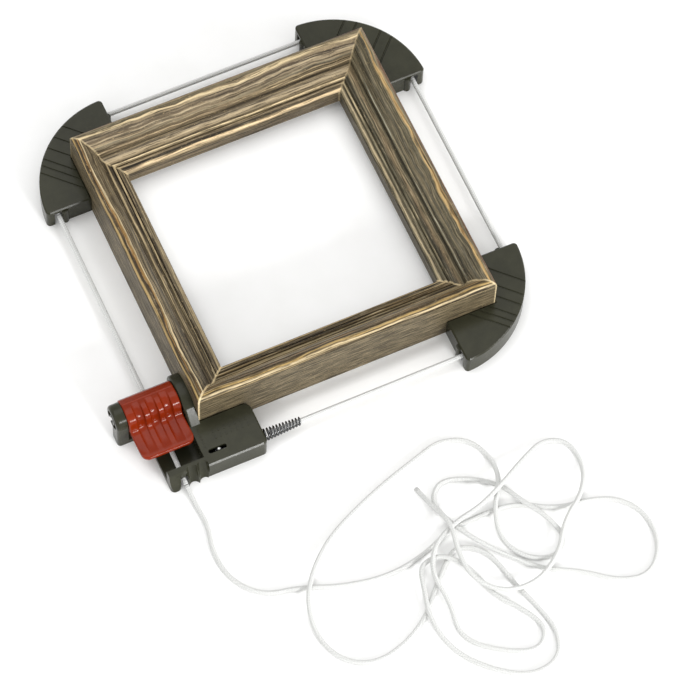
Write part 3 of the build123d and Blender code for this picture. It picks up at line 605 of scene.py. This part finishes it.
def stained_wood(name, seed, streaks, tones, fine_lines):
    """Dark stain over pale softwood, wire brushed along the grain.

    Streaks: (inward mm, half width mm, strength, sway mm, colour).
    Tones: dark, middle and pale of the ground.
    """
    n = Nodes(name)
    parts = n.add("SeparateXYZ")
    n.plug(n.add("UVMap", uv_map="grain").outputs[0], parts.inputs[0])
    along, across = parts.outputs[0], parts.outputs[1]          # metres

    def fibres(per_length, v, per_width, offset=0.0, **noise):
        """Noise drawn out along the rail."""
        place = n.combine(
            n.math("MULTIPLY", along, per_length), n.math("MULTIPLY", v, per_width),
            seed + offset)
        return n.noise(place, **noise)

    def centred(value):
        return n.math("SUBTRACT", value, 0.5)

    # the grain wanders, and more so over the crown than in the beads
    slow = fibres(17, across, 25, detail=1.5)
    quick = fibres(75, across, 60, 4, detail=1)
    crown = n.span(across, run_at(12.5) * MM, run_at(15) * MM, 1.0, 0.4)
    rim = n.span(across, run_at(0.5) * MM, run_at(5) * MM, 0.3, 1.0)
    crown = n.math("MULTIPLY", crown, rim)
    sway = n.math("ADD", n.math("MULTIPLY", centred(slow), SWAY),
                  n.math("MULTIPLY", centred(quick), QUICK_SWAY))
    bent = n.math("ADD", across, n.math("MULTIPLY", sway, crown))
    broad = fibres(8, bent, 300, detail=2)
    rings = fibres(7, bent, 900, 2, detail=2, rough=0.6)
    fine = fibres(60, bent, 1350, detail=3, rough=0.7)
    fleck = fibres(420, across, 2400, detail=2)
    tone = n.ramp(broad, [(0.32, rgb(*tones[0])), (0.5, rgb(*tones[1])), (0.68, rgb(*tones[2]))])
    tone = n.mix(n.span(rings, 0.5, 0.38, 0.0, 0.85 * fine_lines), tone, rgb(30, 24, 14))
    tone = n.mix(n.span(rings, 0.54, 0.64, 0.0, 0.6 * fine_lines), tone, rgb(188, 168, 128))
    # worn and rubbed-through streaks, broken by the grain
    for k, (inward, half, strength, own_sway, colour) in enumerate(streaks):
        wobble = n.noise(n.combine(n.math("MULTIPLY", along, 20), seed + 3.7 * k), detail=2)
        middle = n.math(
            "MULTIPLY_ADD", centred(wobble), 2 * own_sway * MM, run_at(inward) * MM)
        ragged = n.math("MULTIPLY_ADD", centred(fine), RAGGED, bent)
        away = n.math("ABSOLUTE", n.math("SUBTRACT", ragged, middle))
        swell = n.noise(n.combine(n.math("MULTIPLY", along, 34), seed + 9.1 * k), detail=2)
        swell = n.math("MAXIMUM", n.math("MULTIPLY_ADD", swell, 2.6, -0.45), 0.08)
        edge = n.math("MULTIPLY", swell, half * MM)
        mask = n.math("SUBTRACT", 1.25, n.math("DIVIDE", away, edge), clamp=True)
        mask = n.math("MULTIPLY", mask, n.span(fine, 0.36, 0.56, 0.35, 1.0), clamp=True)
        tone = n.mix(n.math("MULTIPLY", mask, strength, clamp=True), tone, rgb(*colour))
    # brushed grain: dark pores and pale ridges
    tone = n.mix(n.span(fine, 0.48, 0.34, 0.0, 0.7), tone, rgb(*PORE))
    tone = n.mix(n.span(fine, 0.55, 0.7, 0.0, 0.45), tone, rgb(*RIDGE))
    # painted shade in the quirks and painted highlight on the raised lines, over the stain that
    # settles and rubs off there
    # the ramp holds half the brightness, because it stops at 1
    total = RUNS[-1]
    stops = [(0.0, 0.5), ((run_at(0.2) - 3) / total, 0.5)]
    stops += [(run_at(u) / total, 0.5 * f) for u, f in QUIRK_STAIN_AND_PAINTED_LIGHT]
    factor = n.math("MULTIPLY", n.ramp(n.math("DIVIDE", across, total * MM), stops), 2.0)
    tone = n.mix(0.9, tone, n.combine(factor, factor, factor), "MULTIPLY")
    # the outer side is stained a flatter grey brown
    side = n.span(across, (run_at(0.2) - 2.2) * MM, (run_at(0.2) - 0.4) * MM, 1.0, 0.0)
    side_tone = n.ramp(
        fine, [(0.38, rgb(44, 39, 29)), (0.5, rgb(84, 76, 58)), (0.62, rgb(134, 120, 93))])
    tone = n.mix(n.math("MULTIPLY", side, 0.86), tone, side_tone)
    # flecks, then bare wood at the mitres
    tone = n.mix(n.span(fleck, 0.64, 0.72, 0, 0.6), tone, rgb(38, 31, 21))
    tone = n.mix(n.span(fleck, 0.34, 0.27, 0, 0.55), tone, rgb(206, 178, 130))
    bare = n.add("Attribute", attribute_name="bare").outputs["Fac"]
    broken = fibres(700, across, 700, detail=3)
    bare_mask = n.math("MULTIPLY", bare, n.span(broken, 0.3, 0.5, 0.35, 1.0), clamp=True)
    tone = n.mix(bare_mask, tone, rgb(*BARE_WOOD))
    height = n.math("ADD", fine, n.math("MULTIPLY", fleck, 0.35))
    rough = n.span(fine, 0.3, 0.7, 0.62, 0.42)
    return n.finish(tone, rough, n.bump(height, 0.00016, 0.75), Specular_IOR_Level=0.22)


CREAM, PALE, GOLD, AMBER = (208, 188, 148), (186, 168, 134), (184, 154, 96), (142, 106, 56)
OLIVE, RUST, UMBER, GREY = (92, 87, 68), (98, 62, 40), (64, 50, 32), (104, 98, 82)
RAILS = {
    "rail_back": dict(
        seed=1.3, tones=((78, 67, 50), (118, 103, 79), (152, 134, 104)), fine_lines=0.8,
        streaks=[
            (0.5, 1.1, 0.9, 0.5, RUST), (2.4, 1.3, 0.8, 1.0, OLIVE),
            (4.8, 1.5, 1.0, 1.8, CREAM), (7.8, 1.8, 0.9, 1.8, UMBER),
            (9.0, 1.0, 0.7, 1.6, PALE), (11.2, 1.4, 0.8, 0.8, GREY),
            (16.2, 2.2, 0.75, 1.2, (184, 166, 134)), (20.3, 0.8, 0.8, 0.3, CREAM),
            (25.6, 1.3, 0.8, 0.4, (214, 188, 148)),
        ]),
    "rail_right": dict(
        seed=5.1, tones=((62, 58, 45), (94, 88, 70), (122, 114, 92)), fine_lines=0.6,
        streaks=[
            (0.8, 1.5, 0.9, 0.7, RUST), (4.2, 1.1, 1.0, 2.4, (196, 164, 110)),
            (3.4, 0.7, 0.7, 1.6, AMBER), (9.0, 1.9, 0.85, 1.2, GREY),
            (12.7, 0.6, 0.7, 0.3, (142, 140, 124)), (16.2, 2.0, 0.7, 1.2, (132, 112, 84)),
            (24.8, 1.0, 0.5, 0.4, PALE),
        ]),
    "rail_front": dict(
        seed=8.9, tones=((56, 47, 31), (86, 73, 50), (120, 102, 70)), fine_lines=1.0,
        streaks=[
            (1.3, 0.7, 1.0, 0.5, CREAM), (3.0, 0.9, 0.95, 1.3, GOLD),
            (5.0, 0.9, 0.9, 1.0, UMBER), (6.8, 0.7, 0.8, 1.6, AMBER),
            (8.8, 0.8, 0.7, 1.8, PALE), (11.6, 0.6, 0.6, 1.0, (150, 130, 96)),
        ]),
    "rail_left": dict(
        seed=12.4, tones=((54, 46, 33), (84, 73, 55), (116, 103, 80)), fine_lines=1.0,
        streaks=[
            (0.9, 0.8, 0.85, 0.7, GOLD), (2.2, 0.9, 0.9, 1.0, UMBER),
            (3.6, 0.9, 1.0, 1.6, AMBER), (5.2, 0.7, 0.95, 1.5, CREAM),
            (7.6, 0.8, 0.6, 1.6, (140, 126, 100)), (10.2, 0.8, 0.6, 1.4, GREY),
        ]),
}
HEADINGS = {"rail_front": 0, "rail_right": 90, "rail_back": 180, "rail_left": 270}
# how bare each corner's joint is, by the heading of the rail that starts there
BARE = {0: 1.0, 90: 0.75, 180: 0.35, 270: 0.45}
SIDE = 2 * HALF                 # the frame's outer side
NICK = 0.22                     # depth of the nick along each joint
END_ROWS = (0, 0.3, 0.75, 1.2, 3.0)     # distances of the close rows from a joint
MIDDLE_ROWS = 12


def recalculated(piece):
    """Turns the faces outwards."""
    bm = bmesh.new()
    bm.from_mesh(piece.data)
    bmesh.ops.recalc_face_normals(bm, faces=bm.faces)
    bm.to_mesh(piece.data)
    bm.free()


def sharp_edges(piece, degrees):
    """Marks the edges that turn by more than this, so that the rest shade smoothly."""
    bm = bmesh.new()
    bm.from_mesh(piece.data)
    for edge in bm.edges:
        if len(edge.link_faces) == 2 and edge.calc_face_angle() > math.radians(degrees):
            edge.smooth = False
    bm.to_mesh(piece.data)
    bm.free()


def rail(name):
    heading = HEADINGS[name]
    angle = math.radians(heading)
    run = Vector((round(math.cos(angle)), round(math.sin(angle)), 0))
    inward = Vector((-run.y, run.x, 0))
    start = -run * HALF - inward * HALF
    first, last = BARE[heading], BARE[(heading + 90) % 360]
    verts, uvs, bare = [], [], []
    # (distance from the joint, or None between the close rows; share of the length)
    rows = [(d, 0) for d in END_ROWS]
    rows += [(None, k / MIDDLE_ROWS) for k in range(1, MIDDLE_ROWS)]
    rows += [(d, 1) for d in END_ROWS[::-1]]
    last_row = END_ROWS[-1]
    for distance, share in rows:
        for j, (u, z) in enumerate(OUTLINE):
            if distance is None:
                s = u + last_row + (SIDE - 2 * last_row - 2 * u) * share
                b, sink = 0.0, 0.0
            else:
                s = u + distance if share == 0 else SIDE - u - distance
                strength = first if share == 0 else last
                b = strength * (1.0 if distance < 0.5 else 0.55 if distance < 1 else 0.0)
                sink = NICK if distance == 0 else 0.0
            # a shallow nick along the joint, towards the body of the moulding
            uu = u + sink * (0.7 if u < 0.5 else 0.0) if u < 13 else u
            zz = z - sink if z > 7 and u > 0.5 and u < 26.8 else z
            p = start + run * s + inward * uu
            verts.append(P(p.x, p.y, zz))
            uvs.append((s * MM, RUNS[j] * MM))
            bare.append(b)
    faces = ring_faces(len(rows), len(OUTLINE))
    wood = stained_wood(name + "_stain", **RAILS[name])
    piece = new_piece(name + "_wood", verts, faces, wood, "frame", name, uvs=uvs)
    layer = piece.data.attributes.new("bare", "FLOAT", "POINT")
    layer.data.foreach_set("value", bare)
    recalculated(piece)
    sharp_edges(piece, 38)
    return slotted(piece)


for name in HEADINGS:
    rail(name)

# ------------------------------------------------------------------ plastic pieces
for name in ("jaw_back_left", "jaw_back_right", "jaw_front_right"):
    softened(name, name, grey_plastic, width=0.28)
softened("tension_block", "frame", grey_plastic, width=0.22)
softened("base_cover", "frame", grey_plastic, width=0.2)
softened("cam_anvil", "frame", dark_plastic, width=0.1)
softened("cord_cam", "lever", dark_plastic, width=0.12)
softened("cover_screws", "frame", zinc, width=0.12)

# ------------------------------------------------------------------ lever
LEVER_MID = -124.5
LEVER_HALF = 17.2
LEVER_EDGE = 0.9                # rounding of the lever's two sides
TAB_FRONT = -113.4
TAB_START = -100                # the tab's corners are rounded in front of this
TAB_CORNER = 5.0
GROOVES = (-9.0, 0.0, 9.0)
GROOVE_HALF = 2.75
GROOVE_DEPTH = 0.62             # share of the way from TOP to FLOOR
# (y, z) outlines in mm: over the top, along the bottom of a groove, and back underneath
TOP = [
    (-71.2, 21.0), (-71.6, 24.0), (-73.4, 26.6), (-75.6, 28.0), (-76.9, 28.62),
    (-77.2, 28.95), (-77.7, 29.08), (-78.2, 28.98), (-78.5, 29.15), (-80.4, 29.75),
    (-82.4, 30.15), (-84.4, 30.22), (-86.4, 29.85), (-88.2, 29.1), (-89.7, 27.9),
    (-90.9, 26.2), (-91.6, 24.2), (-91.9, 22.3), (-92.3, 20.7), (-93.2, 19.3),
    (-94.6, 18.55), (-96.4, 18.4), (-99, 18.5), (-102, 18.75), (-105, 19.05),
    (-107.5, 19.35), (-109.6, 19.7), (-111.2, 20.0), (-112.3, 20.05), (-113.0, 19.7),
    (-113.4, 19.0),
]
FLOOR = [
    (-71.2, 21.0), (-71.6, 24.0), (-73.4, 26.6), (-75.6, 28.0), (-76.9, 28.62),
    (-77.2, 28.95), (-77.7, 29.08), (-78.0, 28.9), (-78.3, 28.95), (-79.8, 28.9),
    (-81.6, 28.55), (-83.2, 27.95), (-84.8, 27.05), (-86.2, 25.85), (-87.4, 24.4),
    (-88.4, 22.7), (-89.1, 21.0), (-89.7, 19.6), (-90.5, 18.45), (-91.7, 17.6),
    (-93.2, 17.2), (-95.2, 17.1), (-98.2, 17.25), (-101.4, 17.65), (-104.4, 18.2),
    (-107.2, 18.9), (-109.5, 19.55), (-111.2, 20.0), (-112.3, 20.05), (-113.0, 19.7),
    (-113.4, 19.0),
]
UNDER = [
    (-113.45, 18.0), (-113.0, 17.2), (-112.0, 16.9), (-109, 16.4), (-105, 15.8), (-101, 15.4),
    (-97, 15.1), (-94, 15.0), (-91, 14.7), (-88.4, 13.8), (-86.3, 12.7), (-84, 12.05),
    (-81, 11.8), (-78, 12.2), (-75.4, 13.6), (-73.2, 16.0), (-71.9, 18.5),
]


def inset_loop(loop, amount):
    """Moves each point of a closed outline towards its inside."""
    count = len(loop)
    out = []
    for i, (y, z) in enumerate(loop):
        ya, za = loop[i - 1]
        yb, zb = loop[(i + 1) % count]
        ty, tz = yb - ya, zb - za
        size = math.hypot(ty, tz) or 1
        out.append((y - tz / size * amount, z + ty / size * amount))
    return out


def signed_area(loop):
    return sum(a[0] * b[1] - b[0] * a[1] for a, b in zip(loop, loop[1:] + loop[:1])) / 2


def make_lever():
    edge, corner = LEVER_EDGE, TAB_CORNER
    stations = set()
    for k in range(6):
        a = k / 5 * math.pi / 2
        for side in (-1, 1):
            stations.add(round(side * (LEVER_HALF - edge + edge * math.sin(a)), 4))
    for k in range(1, 8):
        for side in (-1, 1):
            stations.add(round(side * (LEVER_HALF - corner + (corner - edge) * k / 8), 4))
    for g in GROOVES:
        for d in (0, 0.9, 1.7, 2.2, 2.45, 2.65, 2.85, 3.05, 3.3):
            stations.update((round(g - d, 4), round(g + d, 4)))
    stations = sorted(stations)
    sign = 1 if signed_area(TOP + UNDER) > 0 else -1
    verts = []
    for x in stations:
        depth = 0.0
        for g in GROOVES:
            d = abs(x - g) / GROOVE_HALF
            depth = max(depth, GROOVE_DEPTH * (1 - min(1, (d / 1.06)) ** 6))
        loop = [
            (ya + (yb - ya) * depth, za + (zb - za) * depth)
            for (ya, za), (yb, zb) in zip(TOP, FLOOR)
        ] + UNDER
        past = abs(x) - (LEVER_HALF - edge)
        if past > 0:
            loop = inset_loop(loop, sign * (edge - math.sqrt(max(0, edge**2 - past**2))))
        past = abs(x) - (LEVER_HALF - corner)
        if past > 0:
            cut = corner - math.sqrt(max(0.0, corner**2 - min(past, corner) ** 2))
            cut = min(cut, corner - 0.6)
            reach = TAB_START - TAB_FRONT
            scale = (reach - cut) / reach
            loop = [
                (TAB_START + (y - TAB_START) * scale, z) if y < TAB_START else (y, z)
                for y, z in loop
            ]
        verts += [P(LEVER_MID + x, y, z) for y, z in loop]
    faces = ring_faces(len(stations), len(TOP) + len(UNDER))
    piece = new_piece("red_lever", verts, faces, red_plastic, "lever", "lever")
    recalculated(piece)
    sharp_edges(piece, 60)
    return slotted(piece)


make_lever()

# ------------------------------------------------------------------ axle, spring and pin
low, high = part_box("lever_axle")
span = (high[0] - low[0]) / MM
verts, faces = lathe(
    [
        (0, 1.3), (0.12, 1.62), (0.45, 1.95), (0.8, 2.0),
        (span - 0.8, 2.0), (span - 0.4, 1.95), (span, 1.6),
    ],
    Vector((low[0], MID_Y + AXLE[0] * MM, AXLE[1] * MM)), Vector((1, 0, 0)),
)
slotted(new_piece("steel_axle", verts, faces, zinc, "frame", "lever_axle"))

PIN_X = -96
verts, faces = lathe(
    [(0, 1.1), (0.2, 1.2), (13.9, 1.2), (14.25, 1.1), (14.5, 0.8), (14.6, 0.3)],
    P(PIN_X, -C, 1.0), Vector((0, 0, 1)), 28)
slotted(new_piece("steel_pin", verts, faces, zinc, "frame", "spring_anchor_pin"))

# tapered coil, then a straight lead to the eye of the hook round the pin
COIL_START, COIL_END, PITCH = -74.0, -42.0, 2.1
BIG, SMALL = 4.05, 2.15
COIL_STEPS = 36                 # points in one turn
EYE_R, EYE_POINTS = 2.0, 40
LEAD_START, LEAD_LENGTH, LEAD_POINTS = -92.5, 17.5, 9
WIRE_R = 0.6
turns = (COIL_END - COIL_START) / PITCH
line = []
steps = int(turns * COIL_STEPS)
for i in range(steps + 1):
    t = i / steps
    a = math.pi / 2 + 2 * math.pi * turns * t
    r = BIG + (SMALL - BIG) * t
    x = COIL_START + (COIL_END - COIL_START) * t
    line.append(P(x, -C - r * math.cos(a), CORD_LEVEL + r * math.sin(a)))
eye = []
for i in range(EYE_POINTS):
    a = math.radians(-175 + 350 * i / (EYE_POINTS - 1))
    eye.append(P(PIN_X + EYE_R * math.cos(a), -C + EYE_R * math.sin(a), CORD_LEVEL + BIG))
lead = [
    P(LEAD_START + LEAD_LENGTH * k / (LEAD_POINTS - 1), -C, CORD_LEVEL + BIG)
    for k in range(LEAD_POINTS)
]
verts, faces, uvs = tube(eye[::-1] + lead + line, WIRE_R * MM, sides=10)
slotted(new_piece("wire_spring", verts, faces, wire, "frame", "tension_spring"))
